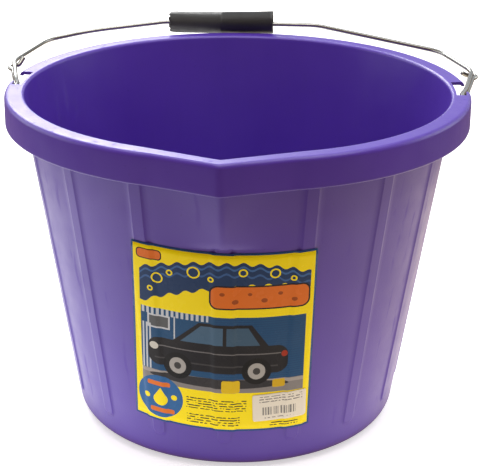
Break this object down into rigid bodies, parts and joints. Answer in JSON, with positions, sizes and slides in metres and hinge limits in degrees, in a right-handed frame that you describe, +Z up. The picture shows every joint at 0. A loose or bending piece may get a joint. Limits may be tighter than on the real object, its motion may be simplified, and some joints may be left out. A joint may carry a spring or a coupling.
{
  "type": "wash bucket",
  "caption": "Open round wash bucket with a deep rim, pouring spout, raised ribs, folding wire bail and a slit grip tube.",
  "frame": {"origin": "centre of the base, on the surface that the bucket stands on", "axes": "+Z up, -Y towards the pouring spout, X along the line of the two ears that the bail turns about"},
  "size_m": [0.3678, 0.3713, 0.2706],
  "materials": {
    "body_plastic": "satin moulded plastic",
    "galvanised_wire": "bright galvanised",
    "grip_plastic": "soft satin black",
    "label_print": "glossy printed film",
    "sticker_paper": "matt coated paper"
  },
  "bodies": {
    "bucket": {"bucket_body": "body_plastic", "label": "label_print", "price_sticker": "sticker_paper"},
    "bail": {"bail_wire": "galvanised_wire"},
    "grip": {"handle_grip": "grip_plastic"}
  },
  "joints": [
    {"name": "bail_hinge", "type": "hinge", "parent": "bucket", "child": "bail", "pos_m": [0, 0, 0.2455], "axis": [1, 0, 0], "range_deg": [0, 94]},
    {"name": "grip_spin", "type": "hinge", "parent": "bail", "child": "grip", "pos_m": [-0.026, 0.17689, 0.26047], "axis": [0.9999, -0.0011, 0.0157], "continuous": true}
  ]
}
